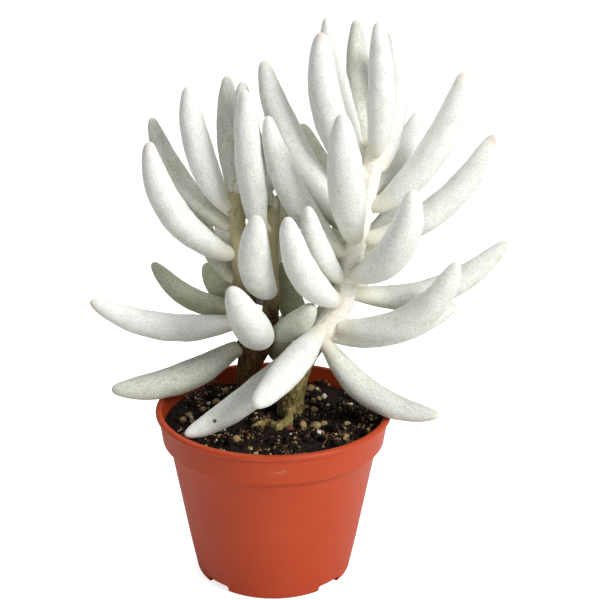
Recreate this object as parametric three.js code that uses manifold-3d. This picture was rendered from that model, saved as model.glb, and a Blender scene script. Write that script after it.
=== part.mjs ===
// Potted woolly senecio: a round nursery pot of soil with two rooted stems, one of them forked, and
// their finger-shaped felted leaves. Millimetres, +Z up, front along -Y. The origin is the centre of the
// pot's base, in the plane that it stands on.
import * as THREE from 'three';
import { mergeVertices } from 'three/addons/utils/BufferGeometryUtils.js';
import Module from 'manifold-3d';

const wasm = await Module();
wasm.setup();

// Pot
const rimRadius = 42.5; // outside of the lip
const potHeight = 63;
const footRadius = 28.6; // outside of the wall where it meets the ground
const wall = 1.2;
const lipHeight = 2.2;
const lipProud = 1.1; // how far the lip stands out from the collar
const collarHeight = 13.5; // from the top of the lip to the foot of the collar's step
const collarTaper = 1.3; // how much narrower the collar is at its lower edge
const collarStep = 2.6; // how far the collar stands out from the wall below it
const stepHeight = 2.2;
const footRounding = 1.4;
const floorThickness = 1.4;
const footWidth = 2.6; // of the ring that the pot stands on
const padRadius = 8; // of the round pad under the middle of the floor
const notchCount = 4;
const notchWidth = 10.4;
const notchHeight = 2.6;
const floorLift = notchHeight + 0.4; // underside of the floor above the ground, clear of the notches
const drainWidth = 5;
const drainInner = 12.5; // nearer end of each drain slot, from the pot's axis
const drainOuter = 20;
const potSides = 64;
const roundingSteps = 3; // straight pieces in a rounded corner
const slotSteps = 6; // straight pieces in a quarter of a slot's end
const overcut = 1; // how far a cutting body reaches past the face it opens

// Soil
const soilDrop = 6; // soil surface below the top of the lip
const soilCrown = 0.8; // how much higher the soil is in the middle
const soilLevel = 0.6; // share of the soil's radius that is level
const soilClearance = 0.5; // between the soil and the pot's wall
const soilSides = 32;
const gap = 0.3; // between pieces that touch
const socketGap = 0.4; // between a stem and the sides of its facetted hole in the soil
const jointGap = 0.45; // between a leaf's neck and the stem, before either leans

// Stems, rooted this deep in the soil
const rootDepth = 10;
const stemSides = 12;
const stemStep = 6; // length of stem between two rings
const endRounding = 0.35; // share of the radius by which a stem's end is drawn in

// Leaves
const leafFlatness = 0.94; // thickness over width
const neckShare = 0.5; // radius at the neck over the largest radius
const leafSides = 8;

// Half the outline of a leaf: [share of the largest radius, share of the length]
const leafOutline = [
  [0, 0],
  [neckShare * 0.75, 0.01],
  [neckShare, 0.05],
  [0.78, 0.18],
  [0.97, 0.34],
  [1, 0.48],
  [0.92, 0.66],
  [0.72, 0.82],
  [0.46, 0.93],
  [0.22, 0.985],
  [0, 1],
];

const weld = 1e-4; // points closer than this are one
const fineShare = 1e-5; // how closely a place along a curve is found
const up = new THREE.Vector3(0, 0, 1);
const across = new THREE.Vector3(0, 1, 0);
const soilTop = potHeight - soilDrop;
const object = new THREE.Group();

// Axes of the stems, as points above the soil surface. The middle stem forks off the left one.
const stems = {
  left_stem: {
    points: [[-10, 14, 0], [-9, 11, 24], [-9, 10, 36], [-12, 10, 60], [-13, 9, 84]],
    footRadius: 4.4,
    topRadius: 2.4,
    rooted: true,
  },
  middle_stem: {
    points: [[-9, 11, 16], [-3, 8, 28], [-1, 7, 40], [-1, 6, 64], [0, 5, 80]],
    footRadius: 3.2,
    topRadius: 2.3,
    rooted: false,
  },
  right_stem: {
    points: [[6, 7, 0], [9, 2, 20], [14.5, 0, 31], [23.5, 0, 44], [27, 1, 60], [33, 5, 88], [35, 6, 99]],
    footRadius: 4.3,
    topRadius: 2.5,
    rooted: true,
  },
  side_root: {
    points: [[6, 7, 3], [6, 1, 2], [5, -5, 1.6], [2.5, -9, 1.5], [-0.5, -8, 1.5], [-2.5, -5, 1.5],
      [-5, -5.5, 1.4], [-7, -9, 1.2]],
    footRadius: 1.3,
    topRadius: 0.8,
    rooted: false,
  },
};

// Leaves from the lowest up. at: height of the joint above the soil. heading: degrees from +X towards +Y.
// rise: of the line from joint to tip, in degrees. bow: how far the belly sags below that line.
// girth: largest width. sway: how far the middle stands to the left of its heading, where it does.
const leaves = {
  left_stem: [
    { at: 25, heading: -166, rise: -15, length: 47, bow: 5, girth: 11.5 },
    { at: 29, heading: 60, rise: -4, length: 40, bow: 4, girth: 9.5 },
    { at: 35, heading: -175, rise: 10, length: 53, bow: 6, girth: 10.5 },
    { at: 40.5, heading: 151, rise: 16, length: 38, bow: 6.5, girth: 8.5 },
    { at: 46, heading: 115, rise: 0, length: 33, bow: 5.5, girth: 10 },
    { at: 50, heading: 141, rise: 55, length: 30, bow: 3.5, girth: 7.5 },
    { at: 53, heading: 65, rise: 15, length: 40, bow: 5, girth: 10 },
    { at: 60, heading: -168, rise: 57, length: 50, bow: 7.5, girth: 11.5 },
    { at: 64, heading: 100, rise: 5, length: 42, bow: 5, girth: 10 },
    { at: 70, heading: 155, rise: 50, length: 47, bow: 6, girth: 9 },
    { at: 74, heading: 58, rise: 48, length: 38, bow: 5, girth: 9 },
    { at: 77, heading: 172, rise: 74, length: 44, bow: 3, girth: 10.5 },
    { at: 81, heading: 100, rise: 66, length: 42, bow: 4, girth: 8.6 },
  ],
  middle_stem: [
    { at: 31, heading: -112, rise: 44, length: 39, bow: 5, girth: 13, sway: 2.7 },
    { at: 31, heading: 59, rise: -39, length: 22, bow: 5, girth: 10.5 },
    { at: 32.5, heading: -52, rise: 38, length: 26.5, bow: 2, girth: 9.4 },
    { at: 43, heading: 105, rise: 8, length: 42, bow: 4, girth: 10 },
    { at: 48, heading: -99, rise: 54, length: 43, bow: 5, girth: 11.5, sway: -2.2 },
    { at: 58, heading: 75, rise: 35, length: 42, bow: 5, girth: 10 },
    { at: 70, heading: -145, rise: 83.5, length: 50, bow: 1, girth: 10.5 },
    { at: 77, heading: 137, rise: 76, length: 44, bow: 3, girth: 8.5 },
  ],
  right_stem: [
    { at: 27, heading: -148, rise: -26, length: 50, bow: 4, girth: 10 },
    { at: 28, heading: 109, rise: 31, length: 39, bow: 1, girth: 9.5 },
    { at: 33, heading: -21, rise: -27, length: 46, bow: 8, girth: 10 },
    { at: 34, heading: 85, rise: -6, length: 44, bow: 5, girth: 10 },
    { at: 35, heading: 10, rise: 11, length: 46, bow: 4, girth: 10 },
    { at: 35, heading: -120, rise: -15, length: 45, bow: 1, girth: 11 },
    { at: 39, heading: -20, rise: 35, length: 49, bow: 10, girth: 12 },
    { at: 44, heading: 100, rise: 5, length: 44, bow: 5, girth: 10 },
    { at: 46, heading: -130, rise: 53, length: 45, bow: 6, girth: 11 },
    { at: 49, heading: 72, rise: 18, length: 38, bow: 5, girth: 9 },
    { at: 49.5, heading: 8, rise: 17, length: 56, bow: 9.5, girth: 10.5 },
    { at: 54, heading: -140, rise: 62, length: 32, bow: 3, girth: 8.5 },
    { at: 56, heading: -50, rise: 54, length: 44, bow: 7, girth: 12.5 },
    { at: 58, heading: 90, rise: 20, length: 46, bow: 5, girth: 10 },
    { at: 62, heading: -174, rise: 62, length: 55, bow: 5, girth: 10.5 },
    { at: 65, heading: 55, rise: 24, length: 44, bow: 5, girth: 10 },
    { at: 68, heading: 5, rise: 40.5, length: 56, bow: 8, girth: 10.5 },
    { at: 68, heading: -108, rise: 69, length: 50, bow: 3, girth: 12.5 },
    { at: 70, heading: 120, rise: 35, length: 45, bow: 5, girth: 9.5 },
    { at: 72, heading: 164, rise: 61, length: 63, bow: 5, girth: 11.8 },
    { at: 76, heading: 75, rise: 42, length: 44, bow: 5, girth: 10 },
    { at: 77.5, heading: 126, rise: 38, length: 40, bow: 3, girth: 8 },
    { at: 79, heading: -4, rise: 59.5, length: 55, bow: 6, girth: 11 },
    { at: 84, heading: 50, rise: 42, length: 36, bow: 4, girth: 9 },
    { at: 88, heading: -163, rise: 74, length: 52, bow: 4.5, girth: 12 },
    { at: 91, heading: 44, rise: 86.5, length: 47, bow: 4.2, girth: 9.5 },
    { at: 93, heading: 148, rise: 73, length: 50.5, bow: 3, girth: 9 },
    { at: 97, heading: -95, rise: 81, length: 46, bow: 4, girth: 8.6, sway: 1.6 },
    { at: 97, heading: 106, rise: 67, length: 46, bow: 4, girth: 8.5 },
  ],
};

function material(colour, roughness) {
  return new THREE.MeshStandardMaterial({ color: colour, roughness, metalness: 0 });
}

function addMesh(name, geometry, finish) {
  const mesh = new THREE.Mesh(geometry, finish);
  mesh.name = name;
  object.add(mesh);
}

// A closed mesh as a solid that can be joined and cut, and back
function toSolid(geometry) {
  const bare = geometry.clone();
  bare.deleteAttribute('normal');
  bare.deleteAttribute('uv');
  const merged = mergeVertices(bare, weld);
  return new wasm.Manifold(new wasm.Mesh({
    numProp: 3,
    vertProperties: new Float32Array(merged.attributes.position.array),
    triVerts: new Uint32Array(merged.index.array),
  }));
}

function toGeometry(solid) {
  const mesh = solid.getMesh();
  const geometry = new THREE.BufferGeometry();
  geometry.setAttribute('position', new THREE.BufferAttribute(mesh.vertProperties, 3));
  geometry.setIndex(new THREE.BufferAttribute(mesh.triVerts, 1));
  geometry.computeVertexNormals();
  return geometry;
}

// A closed outline of [radius, height] points turned about +Z
function turned(outline, sides) {
  const points = outline.map(([radius, height]) => new THREE.Vector2(radius, height));
  return new THREE.LatheGeometry(points, sides).rotateX(Math.PI / 2);
}

// A round body laid on a curve. outline: [radius, distance along the curve] from end to end, both ends on
// the axis. across: a direction that the body's own X keeps as near to as it can.
function laidOn(curve, outline, sides, across, flatness = 1) {
  const points = outline.map(([radius, along]) => new THREE.Vector2(radius, along));
  const geometry = new THREE.LatheGeometry(points, sides);
  const length = curve.getLength();
  const position = geometry.attributes.position;
  for (let i = 0; i < position.count; i += 1) {
    const share = Math.min(1, Math.max(0, position.getY(i) / length));
    const tangent = curve.getTangentAt(share);
    const side = across.clone().addScaledVector(tangent, -across.dot(tangent)).normalize();
    const other = side.clone().cross(tangent);
    const place = curve.getPointAt(share)
      .addScaledVector(side, position.getX(i))
      .addScaledVector(other, position.getZ(i) * flatness);
    position.setXYZ(i, place.x, place.y, place.z);
  }
  geometry.computeVertexNormals();
  return geometry;
}

// Pot: the outside radii from the ground up, and the inside that the soil fills
const collarTop = rimRadius - lipProud;
const collarFoot = collarTop - collarTaper;
const wallTop = collarFoot - collarStep;
const stepFoot = potHeight - collarHeight;
const floorTop = floorLift + floorThickness;
const wallLean = (wallTop - footRadius) / stepFoot;
const inside = [
  [footRadius + wallLean * floorTop - wall, floorTop],
  [wallTop - wall, stepFoot],
  [collarFoot - wall, stepFoot + stepHeight],
  [collarTop - wall, potHeight - lipHeight],
];

function potOutline() {
  const footCorner = [];
  for (let step = 0; step <= roundingSteps; step += 1) {
    const angle = (step / roundingSteps) * (Math.PI / 2);
    const radius = footRadius - footRounding * (1 - Math.sin(angle));
    const height = footRounding * (1 - Math.cos(angle));
    footCorner.push([radius + wallLean * height, height]);
  }
  const lip = [];
  const lipRadius = lipHeight / 2;
  for (let step = 0; step <= 2 * roundingSteps; step += 1) {
    const angle = (step / (2 * roundingSteps) - 0.5) * Math.PI;
    lip.push([
      rimRadius - lipRadius + lipRadius * Math.cos(angle),
      potHeight - lipRadius + lipRadius * Math.sin(angle),
    ]);
  }
  return [
    [0, 0],
    [padRadius, 0],
    [padRadius, floorLift],
    [footRadius - footWidth, floorLift],
    [footRadius - footWidth, 0],
    ...footCorner,
    [wallTop, stepFoot],
    [collarFoot, stepFoot + stepHeight],
    [collarTop, potHeight - lipHeight],
    ...lip,
    [collarTop - wall, potHeight - lipRadius / 2],
    ...inside.slice().reverse(),
    [0, floorTop],
  ];
}

// A slot with round ends through the floor, along +X
function drainSlot() {
  const half = drainWidth / 2;
  const shape = new THREE.Shape();
  shape.absarc(drainOuter - half, 0, half, -Math.PI / 2, Math.PI / 2, false);
  shape.absarc(drainInner + half, 0, half, Math.PI / 2, Math.PI * 1.5, false);
  const slot = new THREE.ExtrudeGeometry(shape, {
    depth: floorTop + 2 * overcut,
    bevelEnabled: false,
    curveSegments: slotSteps,
  });
  return slot.translate(0, 0, -overcut);
}

function pot() {
  let solid = toSolid(turned(potOutline(), potSides));
  const notchLength = footWidth + 2 * footRounding + 2 * overcut;
  for (let i = 0; i < notchCount; i += 1) {
    const turn = ((i + 0.5) / notchCount) * Math.PI * 2;
    const notch = new THREE.BoxGeometry(notchLength, notchWidth, 2 * notchHeight);
    notch.translate(footRadius - footWidth / 2, 0, 0).rotateZ(turn);
    solid = solid.subtract(toSolid(notch));
    solid = solid.subtract(toSolid(drainSlot().rotateZ(turn)));
  }
  return toGeometry(solid);
}

// Stems
function stemCurve(stem, deeper = 0) {
  const points = stem.points.map(([x, y, z]) => new THREE.Vector3(x, y, z + soilTop));
  if (stem.rooted) {
    points.unshift(new THREE.Vector3(points[0].x, points[0].y, points[0].z - rootDepth - deeper));
  }
  return new THREE.CatmullRomCurve3(points);
}

function stemRadius(stem, share) {
  return stem.footRadius + (stem.topRadius - stem.footRadius) * share;
}

// grow: how much wider and deeper than the stem the body is
function stemBody(stem, grow = 0) {
  const curve = stemCurve(stem, grow);
  const length = curve.getLength();
  const rings = Math.max(2, Math.round(length / stemStep));
  const outline = [[0, 0]];
  for (let ring = 0; ring <= rings; ring += 1) {
    const share = ring / rings;
    const radius = stemRadius(stem, share) + grow;
    const end = endRounding * stemRadius(stem, share);
    outline.push([radius, end + share * (length - 2 * end)]);
  }
  outline.push([0, length]);
  return laidOn(curve, outline, stemSides, across);
}

// Share of a stem's length that lies below a height above the soil
function shareAt(curve, height) {
  let low = 0;
  let high = 1;
  while (high - low > fineShare) {
    const middle = (low + high) / 2;
    if (curve.getPointAt(middle).z - soilTop < height) low = middle;
    else high = middle;
  }
  return low;
}

// Leaves
function leafBody(stem, leaf) {
  const stalk = stemCurve(stem);
  const share = shareAt(stalk, leaf.at);
  const heading = THREE.MathUtils.degToRad(leaf.heading);
  const rise = THREE.MathUtils.degToRad(leaf.rise);
  const ahead = new THREE.Vector3(Math.cos(heading), Math.sin(heading), 0);
  const chord = ahead.clone().multiplyScalar(Math.cos(rise)).addScaledVector(up, Math.sin(rise));
  const below = ahead.clone().multiplyScalar(Math.sin(rise)).addScaledVector(up, -Math.cos(rise));
  const left = up.clone().cross(ahead);
  const start = chord.clone().multiplyScalar(leaf.length / 2)
    .addScaledVector(below, 2 * leaf.bow)
    .addScaledVector(left, 2 * (leaf.sway ?? 0));
  const grain = stalk.getTangentAt(share);
  const outward = ahead.clone().addScaledVector(grain, -ahead.dot(grain)).normalize();
  const neck = neckShare * leaf.girth / 2;
  const turnedAway = 1 - Math.max(0, start.clone().normalize().dot(outward));
  const joint = stalk.getPointAt(share)
    .addScaledVector(outward, stemRadius(stem, share) + jointGap + neck * turnedAway);
  const curve = new THREE.QuadraticBezierCurve3(
    joint,
    joint.clone().add(start),
    joint.clone().addScaledVector(chord, leaf.length),
  );
  const length = curve.getLength();
  const outline = leafOutline.map(([width, along]) => [width * leaf.girth / 2, along * length]);
  return laidOn(curve, outline, leafSides, left, leafFlatness);
}

function soil() {
  const clear = inside.map(([radius, height]) => [radius - soilClearance, height]);
  clear[0][1] += gap;
  const [stepTop, collarInside] = [clear[2], clear[3]];
  const share = (soilTop - stepTop[1]) / (collarInside[1] - stepTop[1]);
  const edge = stepTop[0] + share * (collarInside[0] - stepTop[0]);
  const outline = [
    [0, clear[0][1]],
    clear[0],
    clear[1],
    stepTop,
    [edge, soilTop - soilCrown],
    [edge * soilLevel, soilTop],
    [0, soilTop],
  ];
  let solid = toSolid(turned(outline, soilSides));
  for (const stem of Object.values(stems)) {
    if (stem.rooted) solid = solid.subtract(toSolid(stemBody(stem, socketGap)));
  }
  return toGeometry(solid);
}

addMesh('pot', pot(), material('#c2512c', 0.45));
addMesh('soil', soil(), material('#2b1d15', 1));

const leftSolid = toSolid(stemBody(stems.left_stem)).add(toSolid(stemBody(stems.middle_stem)));
addMesh('left_stem', toGeometry(leftSolid), material('#5b3d2c', 0.9));
const rightSolid = toSolid(stemBody(stems.right_stem)).add(toSolid(stemBody(stems.side_root)));
addMesh('right_stem', toGeometry(rightSolid), material('#a38d6a', 0.9));

const felt = material('#c8ccc0', 0.85);
for (const [stemName, rows] of Object.entries(leaves)) {
  rows.forEach((leaf, i) => {
    const place = stemName.replace('_stem', '');
    const number = String(i + 1).padStart(2, '0');
    addMesh(`${place}_leaf_${number}`, leafBody(stems[stemName], leaf), felt.clone());
  });
}

export default object;
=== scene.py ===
import math
import random

import bpy
from mathutils import Euler, Matrix, Vector, noise
from mathutils.bvhtree import BVHTree


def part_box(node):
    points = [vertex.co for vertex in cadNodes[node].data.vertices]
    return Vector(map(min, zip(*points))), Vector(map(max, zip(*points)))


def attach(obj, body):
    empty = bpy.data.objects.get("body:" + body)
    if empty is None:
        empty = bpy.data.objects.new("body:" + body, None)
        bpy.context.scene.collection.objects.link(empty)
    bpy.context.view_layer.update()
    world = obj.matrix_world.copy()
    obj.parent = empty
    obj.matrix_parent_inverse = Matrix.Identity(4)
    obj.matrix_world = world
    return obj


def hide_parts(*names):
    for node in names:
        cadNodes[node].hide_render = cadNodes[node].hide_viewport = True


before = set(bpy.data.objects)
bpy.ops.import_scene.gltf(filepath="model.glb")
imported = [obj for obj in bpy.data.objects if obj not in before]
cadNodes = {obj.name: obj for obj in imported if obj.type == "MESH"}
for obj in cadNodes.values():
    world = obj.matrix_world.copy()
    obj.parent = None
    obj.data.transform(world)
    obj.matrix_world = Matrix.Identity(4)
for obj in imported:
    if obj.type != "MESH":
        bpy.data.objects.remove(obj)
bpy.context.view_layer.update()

mm = 0.001
chance = random.Random(4107)
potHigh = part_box("pot")[1]
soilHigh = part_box("soil")[1]


# Small helpers

def deselectAll():
    if bpy.context.object and bpy.context.object.mode != "OBJECT":
        bpy.ops.object.mode_set(mode="OBJECT")
    bpy.ops.object.select_all(action="DESELECT")


def pick(*pieces):
    deselectAll()
    for piece in pieces:
        piece.select_set(True)
    bpy.context.view_layer.objects.active = pieces[0]


def editMode(piece):
    pick(piece)
    bpy.ops.object.mode_set(mode="EDIT")
    bpy.ops.mesh.select_all(action="SELECT")


def objectMode():
    bpy.ops.object.mode_set(mode="OBJECT")


def selectVertices(piece, wanted):
    # Called in object mode; leaves the piece in edit mode with those vertices selected
    pick(piece)
    bpy.ops.object.mode_set(mode="EDIT")
    bpy.ops.mesh.select_mode(type="VERT")
    bpy.ops.mesh.select_all(action="DESELECT")
    objectMode()
    for vertex in piece.data.vertices:
        vertex.select = wanted(vertex)
    bpy.ops.object.mode_set(mode="EDIT")


def modify(piece, kind, **settings):
    pick(piece)
    modifier = piece.modifiers.new(kind.title(), kind)
    for key, value in settings.items():
        setattr(modifier, key, value)
    bpy.ops.object.modifier_apply(modifier=modifier.name)


def copyOf(source, name):
    # The copy has its own mesh, and a CAD node's loose triangles are merged in it
    piece = bpy.data.objects.new(name, source.data.copy())
    bpy.context.scene.collection.objects.link(piece)
    piece.data.materials.clear()
    editMode(piece)
    bpy.ops.mesh.remove_doubles(threshold=0.002 * mm)
    objectMode()
    return piece


def settle(piece):
    # Puts a piece's place into its mesh
    pick(piece)
    bpy.ops.object.transform_apply(location=True, rotation=True, scale=True)


def joined(pieces, name):
    pick(*pieces)
    bpy.ops.object.join()
    piece = bpy.context.object
    piece.name = name
    return piece


def cloudTexture(name, size, depth=3, kind="CLOUDS"):
    texture = bpy.data.textures.new(name, kind)
    texture.noise_scale = size
    if kind == "CLOUDS":
        texture.noise_depth = depth
    return texture


def finishPiece(piece, material, slotName, *replaced):
    piece.data.materials.clear()
    piece.data.materials.append(material)
    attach(piece, "root")
    if replaced:
        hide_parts(*replaced)


# Node helpers

def put(tree, kind, inputs=None, **settings):
    node = tree.nodes.new(kind)
    for key, value in settings.items():
        setattr(node, key, value)
    for key, value in (inputs or {}).items():
        if isinstance(value, bpy.types.NodeSocket):
            tree.links.new(value, node.inputs[key])
        else:
            node.inputs[key].default_value = value
    return node


def maths(tree, operation, first, second=0.5, clamp=False):
    inputs = {0: first, 1: second}
    return put(tree, "ShaderNodeMath", inputs, operation=operation, use_clamp=clamp).outputs[0]


def fade(tree, value, low, high, toLow=0.0, toHigh=1.0):
    inputs = {"Value": value, "From Min": low, "From Max": high, "To Min": toLow, "To Max": toHigh}
    return put(tree, "ShaderNodeMapRange", inputs, interpolation_type="SMOOTHSTEP").outputs[0]


def blendColours(tree, share, first, second, kind="MIX"):
    node = put(tree, "ShaderNodeMix", {0: share}, data_type="RGBA", blend_type=kind)
    for index, colour in ((6, first), (7, second)):
        if isinstance(colour, bpy.types.NodeSocket):
            tree.links.new(colour, node.inputs[index])
        else:
            node.inputs[index].default_value = (*colour, 1)
    return node.outputs[2]


def noiseOf(tree, vector, scale, detail=3.0, roughness=0.6, distortion=0.0):
    inputs = {"Vector": vector, "Scale": scale, "Detail": detail, "Roughness": roughness,
              "Distortion": distortion}
    return put(tree, "ShaderNodeTexNoise", inputs).outputs["Fac"]


def stretched(tree, vector, scale):
    return put(tree, "ShaderNodeMapping", {"Vector": vector, "Scale": scale}).outputs[0]


def distanceTo(tree, place, point, scale=(1, 1, 1)):
    away = put(tree, "ShaderNodeVectorMath", {0: place, 1: point}, operation="SUBTRACT").outputs[0]
    away = stretched(tree, away, scale)
    return put(tree, "ShaderNodeVectorMath", {0: away}, operation="LENGTH").outputs["Value"]


def attributeOf(tree, name, output="Fac"):
    return put(tree, "ShaderNodeAttribute", attribute_name=name).outputs[output]


def newMaterial(name):
    material = bpy.data.materials.new(name)
    material.use_nodes = True
    tree = material.node_tree
    shader = tree.nodes["Principled BSDF"]
    place = put(tree, "ShaderNodeTexCoord").outputs["Object"]
    return material, tree, shader, place


def newGroup(name, inputs, outputs):
    group = bpy.data.node_groups.new(name, "ShaderNodeTree")
    for label, kind, value in inputs:
        socket = group.interface.new_socket(label, in_out="INPUT", socket_type=kind)
        if value is not None:
            socket.default_value = value
    for label, kind in outputs:
        group.interface.new_socket(label, in_out="OUTPUT", socket_type=kind)
    return group, put(group, "NodeGroupInput").outputs, put(group, "NodeGroupOutput")


# Effects that several finishes share

def makeNap():
    # Short fibres lying over a surface: a fine fleck, a streak along X and a height
    group, given, result = newGroup(
        "nap",
        [("Vector", "NodeSocketVector", None), ("Grain", "NodeSocketFloat", 1900.0),
         ("Streak", "NodeSocketFloat", 900.0)],
        [("Fleck", "NodeSocketFloat"), ("Streaks", "NodeSocketFloat"), ("Height", "NodeSocketFloat")],
    )
    fleck = noiseOf(group, given["Vector"], given["Grain"], 4.0, 0.75)
    drawn = stretched(group, given["Vector"], (0.35, 1, 1))
    streaks = noiseOf(group, drawn, given["Streak"], 3.0, 0.6, 0.3)
    height = maths(group, "ADD", maths(group, "MULTIPLY", fleck, 0.7),
                   maths(group, "MULTIPLY", streaks, 0.5))
    group.links.new(fleck, result.inputs["Fleck"])
    group.links.new(streaks, result.inputs["Streaks"])
    group.links.new(height, result.inputs["Height"])
    return group


def makeRoughSkin():
    # Cracks and lumps drawn out along Z, for bark and peat
    group, given, result = newGroup(
        "roughSkin",
        [("Vector", "NodeSocketVector", None), ("Size", "NodeSocketFloat", 700.0)],
        [("Patches", "NodeSocketFloat"), ("Cracks", "NodeSocketFloat"), ("Height", "NodeSocketFloat")],
    )
    drawn = stretched(group, given["Vector"], (1, 1, 0.45))
    patches = noiseOf(group, drawn, given["Size"], 5.0, 0.65, 0.4)
    cells = put(group, "ShaderNodeTexVoronoi", {"Vector": drawn, "Scale": given["Size"]},
                feature="DISTANCE_TO_EDGE").outputs["Distance"]
    cracks = fade(group, cells, 0.0, 0.16, 1.0, 0.0)
    height = maths(group, "SUBTRACT", patches, maths(group, "MULTIPLY", cracks, 0.35))
    group.links.new(patches, result.inputs["Patches"])
    group.links.new(cracks, result.inputs["Cracks"])
    group.links.new(height, result.inputs["Height"])
    return group


nap = makeNap()
roughSkin = makeRoughSkin()


def useGroup(tree, group, inputs):
    return put(tree, "ShaderNodeGroup", inputs, node_tree=group).outputs


def bump(tree, shader, height, strength, distance):
    node = put(tree, "ShaderNodeBump", {"Height": height, "Strength": strength, "Distance": distance})
    tree.links.new(node.outputs[0], shader.inputs["Normal"])


# Finishes

feltLook = {
    "white": (0.92, 0.925, 0.91),
    "green": (0.46, 0.495, 0.375),
    "olive": (0.31, 0.32, 0.17),
    "cream": (0.70, 0.66, 0.52),
    "blush": (0.60, 0.44, 0.34),
    "roughness": 0.92,
    "sheen": 0.25,
    "speck": (-20.2 * mm, -24 * mm, 67.7 * mm),
    "speckReach": 1.0 * mm,
    "speckCore": 0.5 * mm,
    "speckColour": (0.05, 0.03, 0.02),
}


def makeFelt():
    material, tree, shader, place = newMaterial("leafFelt")
    along = attributeOf(tree, "along")
    ageAndShade = attributeOf(tree, "ageAndShade")
    blush = attributeOf(tree, "blush")
    lengthwise = attributeOf(tree, "lengthwise", "Vector")
    fibres = useGroup(tree, nap, {"Vector": lengthwise})
    clouds = noiseOf(tree, place, 160.0, 2.0)
    facing = put(tree, "ShaderNodeNewGeometry").outputs["Normal"]
    up = put(tree, "ShaderNodeSeparateXYZ", {0: facing}).outputs["Z"]
    # Thin felt lets the green through in flecks and streaks, and on old leaves. Added to that is painted
    # shade: the undersides are painted greener, and leaves that sat in shade are painted darker along with
    # the old ones
    bare = maths(tree, "ADD", fade(tree, fibres["Fleck"], 0.37, 0.74, 0.0, 0.56),
                 fade(tree, fibres["Streaks"], 0.45, 0.7, 0.0, 0.14))
    # Painted shade: the more a face points down, the greener it is painted
    bare = maths(tree, "ADD", bare, fade(tree, up, 0.3, -0.9, 0.0, 0.3))
    bare = maths(tree, "ADD", bare, fade(tree, clouds, 0.45, 0.7, 0.0, 0.14))
    # Each leaf's own value darkens it: wear on old leaves, and painted shade on leaves that sat in shade
    bare = maths(tree, "ADD", bare, maths(tree, "MULTIPLY", ageAndShade, 0.75), clamp=True)
    skin = blendColours(tree, ageAndShade, feltLook["green"], feltLook["olive"])
    colour = blendColours(tree, bare, feltLook["white"], skin)
    foot = maths(tree, "MULTIPLY", fade(tree, along, 0.2, 0.0), 0.7)
    colour = blendColours(tree, foot, colour, feltLook["cream"])
    tip = maths(tree, "MULTIPLY", fade(tree, along, 0.93, 1.0), blush)
    colour = blendColours(tree, tip, colour, feltLook["blush"])
    away = distanceTo(tree, place, feltLook["speck"])
    speck = fade(tree, away, feltLook["speckReach"], feltLook["speckCore"], 0.0, 0.95)
    colour = blendColours(tree, speck, colour, feltLook["speckColour"])
    tree.links.new(colour, shader.inputs["Base Color"])
    shader.inputs["Roughness"].default_value = feltLook["roughness"]
    shader.inputs["Sheen Weight"].default_value = feltLook["sheen"]
    shader.inputs["Specular IOR Level"].default_value = 0.2
    bump(tree, shader, fibres["Height"], 0.4, 0.2 * mm)
    return material


barkLooks = {
    "left_stem": {
        "deep": (0.034, 0.014, 0.006),
        "face": (0.165, 0.080, 0.028),
        "fleck": (0.32, 0.22, 0.10),
        "wool": (0.50, 0.45, 0.26),
        "woolFrom": 41 * mm,
        "woolTo": 71 * mm,
        "mossShare": 0.3,
    },
    "right_stem": {
        "deep": (0.12, 0.085, 0.028),
        "face": (0.42, 0.32, 0.13),
        "fleck": (0.62, 0.52, 0.28),
        "wool": (0.92, 0.88, 0.79),
        "woolFrom": 25 * mm,
        "woolTo": 47 * mm,
        "mossShare": 0.6,
    },
}
barkWeather = {
    "moss": (0.19, 0.20, 0.035),
    "crackSize": 620.0,
    "fibreGrain": 2300.0,
    "raggedEdge": 14 * mm,
    "thinWool": 0.84,
}


def makeBark(name, look):
    material, tree, shader, place = newMaterial(name)
    skin = useGroup(tree, roughSkin, {"Vector": place, "Size": barkWeather["crackSize"]})
    fine = useGroup(tree, nap, {"Vector": place, "Grain": barkWeather["fibreGrain"]})
    height = put(tree, "ShaderNodeSeparateXYZ", {0: place}).outputs["Z"]
    broad = noiseOf(tree, place, 190.0, 3.0)
    colour = blendColours(tree, fade(tree, skin["Patches"], 0.35, 0.65), look["deep"], look["face"])
    colour = blendColours(tree, fade(tree, fine["Fleck"], 0.55, 0.75, 0.0, 0.8), colour, look["fleck"])
    mossy = maths(tree, "MULTIPLY", fade(tree, broad, 0.5, 0.65), look["mossShare"])
    colour = blendColours(tree, mossy, colour, barkWeather["moss"])
    # The cracks are darkened with the deep colour: partly the bark's own dark fissures, partly painted
    # shade in them
    colour = blendColours(tree, maths(tree, "MULTIPLY", skin["Cracks"], 0.4), colour, look["deep"])
    # The wool starts at a ragged line and thickens with height
    edge = maths(tree, "ADD", height, maths(tree, "MULTIPLY", broad, barkWeather["raggedEdge"]))
    woolly = fade(tree, edge, soilHigh.z + look["woolFrom"], soilHigh.z + look["woolTo"])
    thin = [share * barkWeather["thinWool"] for share in look["wool"]]
    wool = blendColours(tree, fade(tree, fine["Streaks"], 0.4, 0.7), look["wool"], thin)
    colour = blendColours(tree, woolly, colour, wool)
    tree.links.new(colour, shader.inputs["Base Color"])
    shader.inputs["Roughness"].default_value = 0.85
    shader.inputs["Specular IOR Level"].default_value = 0.25
    rough = blendColours(tree, woolly, (1, 1, 1), (0.25, 0.25, 0.25))
    rough = put(tree, "ShaderNodeSeparateColor", {0: rough}).outputs[0]
    relief = maths(tree, "MULTIPLY", skin["Height"], rough)
    relief = maths(tree, "ADD", relief, maths(tree, "MULTIPLY", fine["Height"], 0.25))
    bump(tree, shader, relief, 0.8, 0.6 * mm)
    return material


plasticLook = {
    "face": (0.45, 0.055, 0.014),
    "worn": (0.51, 0.078, 0.024),
    "dust": (0.66, 0.30, 0.18),
    "scuff": (1.1 * mm, -41 * mm, 56.5 * mm),
    "scuffReach": 5.5 * mm,
    "scuffScale": (1, 1, 2.6),
}


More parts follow.
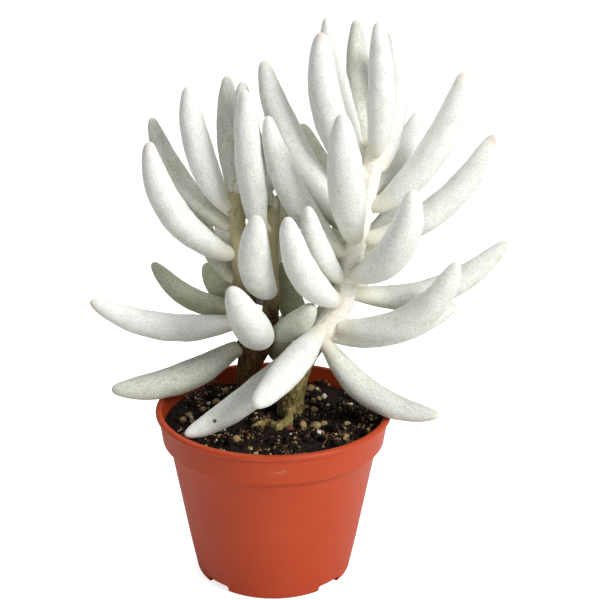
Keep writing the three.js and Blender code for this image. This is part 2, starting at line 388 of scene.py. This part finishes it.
def makePlastic():
    material, tree, shader, place = newMaterial("mouldedPlastic")
    clouds = noiseOf(tree, place, 55.0, 3.0)
    drawn = stretched(tree, place, (1, 1, 9))
    lines = noiseOf(tree, drawn, 90.0, 3.0, 0.6)
    grain = noiseOf(tree, place, 2600.0, 2.0)
    marks = noiseOf(tree, stretched(tree, place, (1, 1, 5)), 210.0, 4.0, 0.7, 1.2)
    worn = maths(tree, "ADD", fade(tree, clouds, 0.4, 0.75, 0.0, 0.35),
                 fade(tree, lines, 0.5, 0.8, 0.0, 0.25))
    colour = blendColours(tree, worn, plasticLook["face"], plasticLook["worn"])
    colour = blendColours(tree, fade(tree, marks, 0.68, 0.76, 0.0, 0.22), colour, plasticLook["dust"])
    away = distanceTo(tree, place, plasticLook["scuff"], plasticLook["scuffScale"])
    scratch = noiseOf(tree, stretched(tree, place, (0.35, 1, 1.6)), 950.0, 3.0, 0.7, 0.8)
    scuff = maths(tree, "MULTIPLY", fade(tree, away, plasticLook["scuffReach"], 0.0),
                  fade(tree, scratch, 0.5, 0.62))
    colour = blendColours(tree, maths(tree, "MULTIPLY", scuff, 0.55), colour, plasticLook["dust"])
    tree.links.new(colour, shader.inputs["Base Color"])
    gloss = maths(tree, "ADD", fade(tree, clouds, 0.3, 0.7, 0.4, 0.5),
                  fade(tree, marks, 0.6, 0.75, 0.0, 0.15))
    tree.links.new(gloss, shader.inputs["Roughness"])
    shader.inputs["Specular IOR Level"].default_value = 0.22
    relief = maths(tree, "ADD", maths(tree, "MULTIPLY", grain, 0.35), maths(tree, "MULTIPLY", lines, 0.5))
    bump(tree, shader, relief, 0.12, 0.3 * mm)
    return material


peatLook = {
    "wet": (0.0035, 0.0025, 0.002),
    "crumb": (0.030, 0.016, 0.009),
    "dry": (0.075, 0.038, 0.018),
}


def makePeat():
    material, tree, shader, place = newMaterial("moistPeat")
    skin = useGroup(tree, roughSkin, {"Vector": place, "Size": 900.0})
    broad = noiseOf(tree, place, 260.0, 4.0, 0.7)
    colour = blendColours(tree, fade(tree, skin["Patches"], 0.35, 0.7), peatLook["wet"], peatLook["crumb"])
    colour = blendColours(tree, fade(tree, broad, 0.58, 0.7, 0.0, 0.7), colour, peatLook["dry"])
    tree.links.new(colour, shader.inputs["Base Color"])
    tree.links.new(fade(tree, broad, 0.3, 0.6, 0.55, 0.95), shader.inputs["Roughness"])
    shader.inputs["Specular IOR Level"].default_value = 0.2
    bump(tree, shader, skin["Height"], 0.9, 0.7 * mm)
    return material


gritLooks = {
    "creamGrain": {"light": (0.50, 0.37, 0.17), "dark": (0.16, 0.09, 0.03)},
    "whiteGrain": {"light": (0.82, 0.78, 0.68), "dark": (0.40, 0.34, 0.25)},
    "redChip": {"light": (0.19, 0.042, 0.024), "dark": (0.08, 0.02, 0.012)},
    "brownFibre": {"light": (0.27, 0.155, 0.065), "dark": (0.04, 0.02, 0.010)},
}


def makeGrit(name, light, dark):
    material, tree, shader, place = newMaterial(name)
    skin = useGroup(tree, roughSkin, {"Vector": place, "Size": 1500.0})
    colour = blendColours(tree, fade(tree, skin["Patches"], 0.3, 0.65), dark, light)
    tree.links.new(colour, shader.inputs["Base Color"])
    shader.inputs["Roughness"].default_value = 0.8
    bump(tree, shader, skin["Height"], 0.6, 0.3 * mm)
    return material


felt = makeFelt()
barks = {name: makeBark(name.replace("_stem", "Bark"), look) for name, look in barkLooks.items()}
plastic = makePlastic()
peat = makePeat()
grits = {name: makeGrit(name, **look) for name, look in gritLooks.items()}
print("finishes made")


# Pot

potShape = {
    "sides": 192,
    "wall": 1.2 * mm,
    "lipHeight": 2.2 * mm,
    "lipProud": 1.1 * mm,
    "lipRounding": 0.6 * mm,
    "collarHeight": 13.5 * mm,
    "collarTaper": 1.3 * mm,
    "collarStep": 2.6 * mm,
    "stepHeight": 2.2 * mm,
    "footRadius": 28.6 * mm,
    "footRounding": 1.4 * mm,
    "footWidth": 2.6 * mm,
    "padRadius": 8 * mm,
    "floorLift": 3.0 * mm,
    "floorThickness": 1.4 * mm,
    "edge": 0.5 * mm,
    "notches": 4,
    "notchWidth": 10.4 * mm,
    "notchHeight": 2.6 * mm,
    "notchRounding": 0.9 * mm,
    "notchOverreach": 6 * mm,
    "drainWidth": 5 * mm,
    "drainFrom": 12.5 * mm,
    "drainTo": 20 * mm,
    "drainCutFrom": -2 * mm,
    "drainCutTo": 10 * mm,
}


def arc(centre, radius, start, end, steps):
    points = []
    for step in range(steps + 1):
        angle = math.radians(start + (end - start) * step / steps)
        points.append((centre[0] + radius * math.cos(angle), centre[1] + radius * math.sin(angle)))
    return points


def turnProfile(name, profile, sides):
    # A closed skin turned about Z from the outline's first point to its last
    deselectAll()
    radius, height = profile[0]
    bpy.ops.mesh.primitive_circle_add(vertices=sides, radius=radius, location=(0, 0, height))
    piece = bpy.context.object
    piece.name = name
    settle(piece)
    editMode(piece)
    for nextRadius, nextHeight in profile[1:]:
        bpy.ops.mesh.extrude_region_move(TRANSFORM_OT_translate={"value": (0, 0, nextHeight - height)})
        share = nextRadius / radius
        bpy.ops.transform.resize(value=(share, share, 1), center_override=(0, 0, nextHeight))
        radius, height = nextRadius, nextHeight
    bpy.ops.mesh.edge_face_add()
    bpy.ops.mesh.select_non_manifold()
    bpy.ops.mesh.edge_face_add()
    bpy.ops.mesh.select_all(action="SELECT")
    bpy.ops.mesh.normals_make_consistent(inside=False)
    objectMode()
    return piece


def potProfile(shape):
    rim, top = potHigh.x, potHigh.z
    collarTop = rim - shape["lipProud"]
    collarFoot = collarTop - shape["collarTaper"]
    wallTop = collarFoot - shape["collarStep"]
    stepFoot = top - shape["collarHeight"]
    foot, edge, wall = shape["footRadius"], shape["edge"], shape["wall"]
    lean = (wallTop - foot) / stepFoot
    floorTop = shape["floorLift"] + shape["floorThickness"]
    lip = shape["lipHeight"] / 2
    rounding = shape["footRounding"]
    points = [(shape["padRadius"] - edge, 0), (shape["padRadius"], edge)]
    points += [(shape["padRadius"], shape["floorLift"]), (foot - shape["footWidth"], shape["floorLift"])]
    points += [(foot - shape["footWidth"], edge), (foot - shape["footWidth"] + edge, 0)]
    points += arc((foot - rounding, rounding), rounding, -90, 0, 6)
    for share in (0.25, 0.5, 0.75):
        height = rounding + (stepFoot - edge - rounding) * share
        points.append((foot + lean * height, height))
    points += [(wallTop - lean * edge, stepFoot - edge), (wallTop + edge * 0.3, stepFoot)]
    points += [(wallTop + edge * 1.2, stepFoot + edge * 0.6)]
    points += [(collarFoot - edge * 0.7, stepFoot + shape["stepHeight"] - edge * 0.5)]
    points += [(collarFoot, stepFoot + shape["stepHeight"] + edge * 0.2)]
    points += [(collarFoot + 0.05 * edge, stepFoot + shape["stepHeight"] + edge)]
    for share in (0.35, 0.7):
        low, high = stepFoot + shape["stepHeight"], top - shape["lipHeight"]
        points.append((collarFoot + shape["collarTaper"] * share, low + (high - low) * share))
    points += [(collarTop, top - shape["lipHeight"] - 0.2 * edge)]
    points += [(collarTop + 0.3 * edge, top - shape["lipHeight"])]
    points += arc((rim - lip, top - lip), lip, -75, 90, 9)
    inner = shape["lipRounding"]
    points += arc((collarTop - wall + inner, top - inner), inner, 90, 180, 4)
    points += [(collarTop - wall, top - shape["lipHeight"])]
    points += [(collarFoot - wall, stepFoot + shape["stepHeight"]), (wallTop - wall, stepFoot)]
    points += [(foot + lean * floorTop - wall, floorTop)]
    return points


def potCutter(shape):
    # The notches in the foot and the drain slots in the floor, as one body to cut with
    cutters = []
    for index in range(shape["notches"]):
        turn = (index + 0.5) / shape["notches"] * math.tau
        outwards = Vector((math.cos(turn), math.sin(turn), 0))
        deselectAll()
        middle = outwards * (shape["footRadius"] - shape["footWidth"] / 2)
        bpy.ops.mesh.primitive_cube_add(size=1, location=middle, rotation=(0, 0, turn))
        notch = bpy.context.object
        notch.scale = (shape["footWidth"] + shape["notchOverreach"], shape["notchWidth"],
                       2 * shape["notchHeight"])
        settle(notch)
        modify(notch, "BEVEL", width=shape["notchRounding"], segments=3, limit_method="ANGLE")
        deselectAll()
        middle = outwards * (shape["drainFrom"] + shape["drainTo"]) / 2
        middle.z = (shape["drainCutFrom"] + shape["drainCutTo"]) / 2
        bpy.ops.mesh.primitive_cube_add(size=1, location=middle, rotation=(0, 0, turn))
        slot = bpy.context.object
        slot.scale = (shape["drainTo"] - shape["drainFrom"], shape["drainWidth"],
                      shape["drainCutTo"] - shape["drainCutFrom"])
        settle(slot)
        modify(slot, "BEVEL", width=shape["drainWidth"] * 0.45, segments=5, limit_method="ANGLE")
        cutters += [notch, slot]
    return joined(cutters, "potCutter")


def makePot():
    shape = potShape
    pot = turnProfile("pot_body", potProfile(shape), shape["sides"])
    cutter = potCutter(shape)
    modify(pot, "BOOLEAN", operation="DIFFERENCE", solver="EXACT", object=cutter)
    bpy.data.objects.remove(cutter)
    pick(pot)
    bpy.ops.object.shade_smooth_by_angle(angle=math.radians(28))
    finishPiece(pot, plastic, "pot", "pot")
    return pot


pot = makePot()
print("pot made:", len(pot.data.polygons), "faces")


# Soil

soilShape = {
    "sides": 260,
    "rings": 84,
    "insideRim": 2.75 * mm,
    "edgeDrop": 0.5 * mm,
    "depth": 9 * mm,
    "depthInset": 7.55 * mm,
    "shoulder": 4 * mm,
    "shoulderInset": 0.9 * mm,
    "loose": 1.5 * mm,
    # Each layer of unevenness: its texture, its grain and how high it stands
    "heaps": ("CLOUDS", 9 * mm, 2.4 * mm),
    "clods": ("CLOUDS", 2.6 * mm, 2.4 * mm),
    "crumbs": ("VORONOI", 1.4 * mm, 1.3 * mm),
}
soilRadius = potHigh.x - soilShape["insideRim"]


def makeSoil():
    top = soilHigh.z
    profile = [(soilRadius - soilShape["depthInset"], top - soilShape["depth"]),
               (soilRadius - soilShape["shoulderInset"], top - soilShape["shoulder"])]
    for ring in range(soilShape["rings"]):
        share = 1 - ring / soilShape["rings"]
        profile.append((soilRadius * share, top - soilShape["edgeDrop"] * share ** 4))
    soil = turnProfile("soil_bed", profile, soilShape["sides"])
    loose = soil.vertex_groups.new(name="loose")
    for vertex in soil.data.vertices:
        if vertex.co.z > top - soilShape["loose"]:
            out = math.hypot(vertex.co.x, vertex.co.y)
            loose.add([vertex.index], min(1, (soilRadius - out) / soilShape["loose"] + 0.25), "REPLACE")
    for name in ("heaps", "clods", "crumbs"):
        kind, size, strength = soilShape[name]
        modify(soil, "DISPLACE", texture=cloudTexture(name, size, 3, kind), texture_coords="LOCAL",
               direction="Z", mid_level=0.5, strength=strength, vertex_group="loose")
    pick(soil)
    bpy.ops.object.shade_smooth()
    finishPiece(soil, peat, "soil", "soil")
    return soil


soil = makeSoil()
surfaces = []


def addSurface(piece):
    surfaces.append(BVHTree.FromObject(piece, bpy.context.evaluated_depsgraph_get()))


def soilHeight(x, y):
    above = Vector((x, y, potHigh.z + 10 * mm))
    hits = [surface.ray_cast(above, Vector((0, 0, -1)))[0] for surface in surfaces]
    return max((hit.z for hit in hits if hit), default=soilHigh.z)


addSurface(soil)


def makePebble(name, seed, unevenness):
    deselectAll()
    bpy.ops.mesh.primitive_cube_add(size=1)
    pebble = bpy.context.object
    pebble.name = name
    bpy.ops.object.mode_set(mode="EDIT")
    bpy.ops.mesh.select_all(action="SELECT")
    bpy.ops.mesh.subdivide(number_cuts=1)
    bpy.ops.transform.tosphere(value=0.85)
    bpy.ops.transform.vertex_random(offset=unevenness, uniform=0.4, normal=0.6, seed=seed)
    objectMode()
    bpy.ops.object.shade_smooth()
    return pebble


def makeStrand(name, seed):
    deselectAll()
    bpy.ops.mesh.primitive_cylinder_add(vertices=5, radius=0.035, depth=1, rotation=(0, math.pi / 2, 0))
    strand = bpy.context.object
    strand.name = name
    settle(strand)
    bpy.ops.object.mode_set(mode="EDIT")
    for cut in (-0.3, -0.1, 0.1, 0.3):
        bpy.ops.mesh.select_all(action="SELECT")
        bpy.ops.mesh.bisect(plane_co=(cut, 0, 0), plane_no=(1, 0, 0))
    objectMode()
    bend = random.Random(seed)
    sway, hump = bend.uniform(-0.7, 0.7), bend.uniform(-0.35, 0.35)
    for vertex in strand.data.vertices:
        share = vertex.co.x
        vertex.co.y += sway * (share * share - 0.1) + 0.05 * math.sin(share * 11 + seed)
        vertex.co.z += hump * (0.25 - share * share)
    pick(strand)
    bpy.ops.object.shade_smooth()
    return strand


# Where each stem leaves the soil, and how much room it takes there
stemRoots = {
    "left_stem": (-10 * mm, 14 * mm, 5.2 * mm),
    "right_stem": (6 * mm, 7 * mm, 5.0 * mm),
}


def clearOfStems(x, y, size):
    return all(math.hypot(x - rootX, y - rootY) > reach + size * 0.4
               for rootX, rootY, reach in stemRoots.values())


def scatter(name, prototypes, material, count, sizes, sink, flat, clusters=0.0, chosen=()):
    # Copies of the prototypes lying on the soil, joined into one piece
    places = [(x * mm, y * mm, size * mm) for x, y, size in chosen]
    copies = []
    spots = list(places)
    while len(spots) < count + len(places):
        out = soilRadius * math.sqrt(chance.random()) * 0.985
        turn = chance.random() * math.tau
        x, y = out * math.cos(turn), out * math.sin(turn)
        size = sizes[0] + (sizes[1] - sizes[0]) * chance.random() ** 2.2
        crowded = noise.noise(Vector((x, y, 0.02)) * 95) > clusters * (chance.random() - 0.25)
        if out + size * 0.5 < soilRadius and crowded and clearOfStems(x, y, size):
            spots.append((x, y, size))
    for index, (x, y, size) in enumerate(spots):
        source = prototypes[index % len(prototypes)]
        copy = bpy.data.objects.new(name, source.data.copy())
        bpy.context.scene.collection.objects.link(copy)
        tilt = Euler((chance.uniform(-0.5, 0.5), chance.uniform(-0.5, 0.5), chance.random() * math.tau))
        stretch = Vector((chance.uniform(0.75, 1.25), chance.uniform(0.75, 1.1),
                          flat * chance.uniform(0.8, 1.15)))
        place = Vector((x, y, soilHeight(x, y) + size * (0.35 - sink) * flat))
        copy.matrix_world = Matrix.LocRotScale(place, tilt, stretch * size)
        copies.append(copy)
    piece = joined(copies, name)
    settle(piece)
    finishPiece(piece, material, "soil")
    return piece


# How many of each kind there are, how big, how deep they sink, how flat and how bunched they
# are, and the ones with a chosen place: x, y and size in millimetres
litterShape = {
    "unevenness": 0.11,
    "peat_crumbs": {"count": 2200, "sizes": (0.6 * mm, 3.0 * mm), "sink": 0.1, "flat": 0.85},
    "peat_fines": {"count": 2400, "sizes": (0.3 * mm, 0.9 * mm), "sink": 0.0, "flat": 0.9},
    "cream_grains": {
        "count": 250, "sizes": (0.35 * mm, 1.35 * mm), "sink": 0.1, "flat": 0.75, "clusters": 0.9,
        "chosen": [(-26, 8, 2.45), (-31, 5, 2.02), (-21, 17, 2.16), (-18, 22, 2.3), (-26, 13, 1.73),
                   (-10, 21, 2.02), (14, 22, 2.3), (17, 18, 1.87), (12, 9, 2.3), (15, 6, 2.59),
                   (10.5, -6, 2.59), (15, -6, 2.74), (18, -4, 1.87), (-29, -2, 1.87), (-33, 1, 2.16),
                   (-20, 3, 1.58), (-15, -3, 1.58), (-13, -20, 2.16), (17, -14, 1.58), (23, -12, 1.44),
                   (26, -9, 1.58), (-3, 1, 1.58), (-7, 4, 1.44), (22, 4, 1.44), (-19, -17, 1.58),
                   (-8, -24, 1.44)],
    },
    "white_grains": {
        "count": 110, "sizes": (0.25 * mm, 0.8 * mm), "sink": 0.0, "flat": 0.85, "clusters": 0.6,
        "chosen": [(16, -15.5, 1.37), (19, 19, 1.87), (16.5, 24, 1.3), (29, 14, 1.01), (-24, 10, 1.15),
                   (-30, 3, 1.3), (20, 9, 1.08), (6, -14, 0.86)],
    },
    "red_chips": {
        "count": 8, "sizes": (0.6 * mm, 1.3 * mm), "sink": 0.1, "flat": 0.6,
        "chosen": [(5.5, -7.5, 2.45), (-27, 15, 1.15)],
    },
    "brown_crumbs": {"count": 1150, "sizes": (0.25 * mm, 1.15 * mm), "sink": 0.2, "flat": 0.6},
    "fibres": {"count": 260, "sizes": (1.2 * mm, 5 * mm), "sink": 0.2, "flat": 0.8},
}


def makeLitter():
    pebbles = [makePebble(f"pebble{seed}", seed, litterShape["unevenness"]) for seed in range(6)]
    strands = [makeStrand(f"strand{seed}", seed) for seed in range(5)]
    pieces = []
    for name, prototypes, material in (
        ("peat_crumbs", pebbles, peat),
        ("peat_fines", pebbles, peat),
        ("cream_grains", pebbles, grits["creamGrain"]),
        ("white_grains", pebbles, grits["whiteGrain"]),
        ("red_chips", pebbles, grits["redChip"]),
        ("brown_crumbs", pebbles, grits["brownFibre"]),
        ("fibres", strands, grits["brownFibre"]),
    ):
        pieces.append(scatter(name, prototypes, material, **litterShape[name]))
        if name == "peat_crumbs":
            # All that follows lies on top of the crumbs
            addSurface(pieces[0])
    for source in pebbles + strands:
        bpy.data.objects.remove(source)
    return pieces


litter = makeLitter()
print("soil made:", len(soil.data.polygons), "faces,", len(litter), "kinds of litter")


# Leaves

leafShape = {
    "levels": 3,
    "fatten": 0.68 * mm,
    "sink": 0.9 * mm,
    "flare": 1.3,
    "waviness": 0.55 * mm,
}
# By row and number, how far the felt has worn off an old leaf, together with painted shade: leaves that
# sat in shade are darkened by the same value
oldAndShadedLeaves = {
    "left": {1: 0.45, 2: 0.6, 4: 0.75, 5: 0.85, 6: 0.6, 7: 0.5, 9: 0.35, 10: 0.3, 13: 0.3},
    "middle": {2: 0.8, 3: 0.4, 4: 0.7, 6: 0.75, 8: 0.2},
    "right": {1: 0.1, 2: 0.85, 3: 0.25, 4: 0.7, 5: 0.2, 6: 0.12, 7: 0.1, 8: 0.9, 11: 0.2, 14: 0.7,
              15: 0.12, 16: 0.3, 17: 0.1, 19: 0.6, 22: 0.6, 29: 0.4},
}
# And how pink its tip is
blushedLeaves = {
    "left": {3: 0.4, 8: 0.3},
    "middle": {},
    "right": {11: 0.4, 17: 0.8, 20: 0.3, 23: 0.35, 25: 0.5},
}
stemNames = {"left": "left_stem", "middle": "left_stem", "right": "right_stem"}


def polesOf(mesh):
    # The two vertices where all the sides of a leaf meet
    edges = [0] * len(mesh.vertices)
    for edge in mesh.edges:
        for index in edge.vertices:
            edges[index] += 1
    return sorted(range(len(edges)), key=lambda index: -edges[index])[:2]


def neighbours(mesh, index):
    touching = [edge.vertices for edge in mesh.edges if index in edge.vertices]
    return {other for pair in touching for other in pair if other != index}


def distanceToPiece(piece, place):
    return (piece.closest_point_on_mesh(place)[1] - place).length


def setAttribute(mesh, name, kind, values):
    attribute = mesh.attributes.new(name, kind, "POINT")
    key = "vector" if kind == "FLOAT_VECTOR" else "value"
    for item, value in zip(attribute.data, values):
        setattr(item, key, value)


def makeLeaf(name):
    row, _, number = name.split("_")
    stem = cadNodes[stemNames[row]]
    leaf = copyOf(cadNodes[name], name.replace("leaf", "blade"))
    mesh = leaf.data
    foot, tip = sorted(polesOf(mesh), key=lambda index: distanceToPiece(stem, mesh.vertices[index].co))
    footPlace, tipPlace = mesh.vertices[foot].co.copy(), mesh.vertices[tip].co.copy()
    _, onStem, outwards, _ = stem.closest_point_on_mesh(footPlace)
    chord = (tipPlace - footPlace).normalized()
    # The first ring and the end are drawn into the stem and spread a little
    ring = neighbours(mesh, foot)
    sunk = onStem - outwards * leafShape["sink"]
    selectVertices(leaf, lambda vertex: vertex.index in ring or vertex.index == foot)
    bpy.ops.transform.translate(value=sunk - footPlace)
    bpy.ops.transform.resize(value=(leafShape["flare"],) * 3, center_override=sunk)
    bpy.ops.mesh.select_mode(type="FACE")
    bpy.ops.mesh.select_all(action="SELECT")
    bpy.ops.mesh.tris_convert_to_quads(face_threshold=math.radians(50), shape_threshold=math.radians(50))
    objectMode()
    modify(leaf, "SUBSURF", levels=leafShape["levels"], render_levels=leafShape["levels"])
    editMode(leaf)
    bpy.ops.transform.shrink_fatten(value=leafShape["fatten"])
    objectMode()
    modify(leaf, "DISPLACE", texture=leafWaves, texture_coords="LOCAL", mid_level=0.5,
           strength=leafShape["waviness"])
    pick(leaf)
    bpy.ops.object.shade_smooth()
    mesh = leaf.data
    length = (tipPlace - footPlace).length
    side = chord.orthogonal().normalized()
    other = chord.cross(side)
    offsets = [vertex.co - footPlace for vertex in mesh.vertices]
    shift = Vector((chance.random(), chance.random(), chance.random())) * 0.2
    setAttribute(mesh, "along", "FLOAT", [max(0, offset.dot(chord) / length) for offset in offsets])
    frameOf = Matrix((chord, side, other))
    setAttribute(mesh, "lengthwise", "FLOAT_VECTOR", [frameOf @ offset + shift for offset in offsets])
    # Partly wear, partly painted shade for leaves that sat in shade
    ageAndShade = oldAndShadedLeaves[row].get(int(number), 0.0) + chance.uniform(0, 0.08)
    blush = blushedLeaves[row].get(int(number), chance.uniform(0, 0.2))
    setAttribute(mesh, "ageAndShade", "FLOAT", [ageAndShade] * len(offsets))
    setAttribute(mesh, "blush", "FLOAT", [blush] * len(offsets))
    finishPiece(leaf, felt, "leaf", name)
    return {"stem": stemNames[row], "foot": footPlace, "onStem": onStem, "outwards": outwards,
            "chord": chord}


leafWaves = cloudTexture("leafWaves", 7 * mm, 1)
leaves = [makeLeaf(name) for name in sorted(cadNodes) if "leaf" in name]
print("leaves made:", len(leaves))


# Buds of young leaves that close the tops of the stems

budShape = {
    # Each bud's place above the middle of the soil
    "tops": {
        "left_bud": (-13 * mm, 9 * mm, 84 * mm),
        "middle_bud": (0, 5 * mm, 80 * mm),
        "right_bud": (35 * mm, 6 * mm, 99 * mm),
    },
    "leaves": 4,
    "spread": 1.1 * mm,
    "lean": 13,
    "size": (1.5 * mm, 1.2 * mm, 3.6 * mm),
    "lowest": -0.4 * mm,
    "step": 0.6 * mm,
    "along": 0.06,
    "ageAndShade": 0.5,
    "blush": 0.2,
}


def makeBud(name):
    top = Vector(budShape["tops"][name]) + Vector((0, 0, soilHigh.z))
    young = []
    for index in range(budShape["leaves"]):
        turn = index / budShape["leaves"] * math.tau + 0.4
        outwards = Vector((math.cos(turn), math.sin(turn), 0))
        lean = Euler((0, math.radians(budShape["lean"]), turn))
        deselectAll()
        bpy.ops.mesh.primitive_uv_sphere_add(segments=20, ring_count=14, radius=1, location=(0, 0, 0))
        leaf = bpy.context.object
        place = top + outwards * budShape["spread"]
        place.z += budShape["step"] * (index % 3) + budShape["lowest"]
        leaf.matrix_world = Matrix.LocRotScale(place, lean, Vector(budShape["size"]))
        young.append(leaf)
    bud = joined(young, name)
    settle(bud)
    offsets = [vertex.co - top for vertex in bud.data.vertices]
    setAttribute(bud.data, "lengthwise", "FLOAT_VECTOR", [offset.zxy for offset in offsets])
    for label in ("along", "ageAndShade", "blush"):
        setAttribute(bud.data, label, "FLOAT", [budShape[label]] * len(offsets))
    bpy.ops.object.shade_smooth()
    finishPiece(bud, felt, "leaf")
    return bud


buds = [makeBud(name) for name in budShape["tops"]]
print("buds made:", len(buds))


# Stems

stemShape = {
    "voxel": 0.42 * mm,
    "collarSides": 14,
    "collarWide": 3.375 * mm,
    "collarNarrow": 2.0 * mm,
    "collarDepth": 3.4 * mm,
    "collarSink": 0.9 * mm,
    "scarSize": (0.9 * mm, 2.1 * mm, 0.75 * mm),
    "scarSink": 0.35 * mm,
    "scarFrom": 3 * mm,
    "scarStep": 2.6 * mm,
    "scarTurn": 137.5,
    "scarTop": {"left_stem": 26 * mm, "right_stem": 20 * mm},
    "smoothing": 6,
    "fatten": {"left_stem": 0.3 * mm, "right_stem": 0.9 * mm},
    # Above this height the bark smooths out over the length that follows
    "roughTo": 12 * mm,
    "smoothOver": 22 * mm,
}


def makeCollar(leaf):
    # A short cone that carries the leaf's foot out of the stem
    deselectAll()
    direction = leaf["foot"] - leaf["onStem"] + (leaf["outwards"] + leaf["chord"]) * 0.6 * mm
    direction.normalize()
    middle = leaf["onStem"] - direction * stemShape["collarSink"]
    turn = direction.to_track_quat("Z", "Y").to_euler()
    bpy.ops.mesh.primitive_cone_add(vertices=stemShape["collarSides"], radius1=stemShape["collarWide"],
                                    radius2=stemShape["collarNarrow"], depth=stemShape["collarDepth"],
                                    location=middle, rotation=turn)
    collar = bpy.context.object
    settle(collar)
    return collar


def makeScars(stem, name):
    # Ridges left by fallen leaves, winding up the bare part of a stem
    scars = []
    rootX, rootY, _ = stemRoots[name]
    height, turn = soilHigh.z + stemShape["scarFrom"], 0.0
    while height < soilHigh.z + stemShape["scarTop"][name]:
        ray = Vector((math.cos(turn), math.sin(turn), 0))
        start = Vector((rootX, rootY, height)) + ray * 30 * mm
        found, place, normal, _ = stem.ray_cast(start, -ray)
        if found:
            deselectAll()
            middle = place - normal * stemShape["scarSink"]
            bpy.ops.mesh.primitive_uv_sphere_add(segments=10, ring_count=6, radius=1, location=middle,
                                                 rotation=(0, 0, turn))
            scar = bpy.context.object
            scar.scale = stemShape["scarSize"]
            settle(scar)
            scars.append(scar)
        height += stemShape["scarStep"]
        turn += math.radians(stemShape["scarTurn"])
    return scars


def makeStem(name, slotName):
    stem = copyOf(cadNodes[name], name.replace("stem", "stalk"))
    extras = [makeCollar(leaf) for leaf in leaves if leaf["stem"] == name]
    extras += makeScars(cadNodes[name], name)
    editMode(stem)
    bpy.ops.transform.shrink_fatten(value=stemShape["fatten"][name])
    objectMode()
    stem = joined([stem] + extras, stem.name)
    modify(stem, "REMESH", mode="VOXEL", voxel_size=stemShape["voxel"])
    modify(stem, "SMOOTH", factor=0.5, iterations=stemShape["smoothing"])
    normals = [vertex.normal.copy() for vertex in stem.data.vertices]
    for vertex, normal in zip(stem.data.vertices, normals):
        above = max(0, vertex.co.z - soilHigh.z - stemShape["roughTo"])
        bare = max(0.1, 1 - above / stemShape["smoothOver"])
        drawn = Vector((vertex.co.x, vertex.co.y, vertex.co.z * 0.35))
        lumps = noise.noise(drawn * 620) * 0.34 + noise.noise(drawn * 1500) * 0.18
        squeezed = Vector((vertex.co.x * 0.3, vertex.co.y * 0.3, vertex.co.z))
        rings = noise.noise(squeezed * 700) * 0.07
        vertex.co += normal * (lumps + rings) * mm * bare
    pick(stem)
    bpy.ops.object.shade_smooth()
    finishPiece(stem, barks[name], slotName, name)
    return stem


stems = [makeStem("left_stem", "dark_bark"), makeStem("right_stem", "pale_bark")]
print("stems made:", [len(stem.data.polygons) for stem in stems])


# Floor, light and camera

studio = {
    "floorSize": 8.0,
    "floorGlow": 0.75,
    "middle": (0, 0, 0.10),
    "keyPlace": (0.74, -0.66, 0.72),
    "keySize": 0.5,
    "keyPower": 12.4,
    "topPlace": (-0.1, 0.25, 1.1),
    "topSize": 0.8,
    "topPower": 5.4,
    "world": 0.27,
    "cameraPlace": (0, -0.430, 0.253),
    "cameraTilt": 19.2,
    "lens": 77.88,
    "shift": 0.04417,
}


def addArea(name, place, size, power):
    light = bpy.data.lights.new(name, "AREA")
    light.shape = "DISK"
    light.size = size
    light.energy = power
    lamp = bpy.data.objects.new(name, light)
    bpy.context.scene.collection.objects.link(lamp)
    lamp.location = place
    lamp.rotation_euler = (Vector(studio["middle"]) - Vector(place)).to_track_quat("-Z", "Y").to_euler()


def makeStudio():
    deselectAll()
    bpy.ops.mesh.primitive_plane_add(size=studio["floorSize"])
    floor = bpy.context.object
    floor.name = "studio_floor"
    material, tree, shader, _ = newMaterial("paleFloor")
    shader.inputs["Base Color"].default_value = (0.9, 0.9, 0.9, 1)
    shader.inputs["Emission Color"].default_value = (1, 1, 1, 1)
    # The glow is only seen, so that the floor is even and pale without lighting the plant
    seen = put(tree, "ShaderNodeLightPath").outputs["Is Camera Ray"]
    tree.links.new(maths(tree, "MULTIPLY", seen, studio["floorGlow"]), shader.inputs["Emission Strength"])
    shader.inputs["Roughness"].default_value = 0.9
    shader.inputs["Specular IOR Level"].default_value = 0.1
    floor.data.materials.append(material)
    addArea("keyLight", studio["keyPlace"], studio["keySize"], studio["keyPower"])
    addArea("topLight", studio["topPlace"], studio["topSize"], studio["topPower"])
    world = bpy.data.worlds.new("studioWorld")
    world.use_nodes = True
    background = world.node_tree.nodes["Background"]
    background.inputs["Color"].default_value = (1, 1, 1, 1)
    seen = put(world.node_tree, "ShaderNodeLightPath").outputs["Is Camera Ray"]
    strength = maths(world.node_tree, "MAXIMUM", seen, studio["world"])
    world.node_tree.links.new(strength, background.inputs["Strength"])
    bpy.context.scene.world = world
    bpy.context.scene.view_settings.view_transform = "Standard"
    cameraData = bpy.data.cameras.new("studioCamera")
    cameraData.lens = studio["lens"]
    cameraData.sensor_width = 36
    cameraData.shift_x = studio["shift"]
    cameraData.clip_start = 0.01
    camera = bpy.data.objects.new("studioCamera", cameraData)
    bpy.context.scene.collection.objects.link(camera)
    camera.location = studio["cameraPlace"]
    camera.rotation_euler = (math.radians(90 - studio["cameraTilt"]), 0, 0)
    bpy.context.scene.camera = camera


makeStudio()
print("studio made")
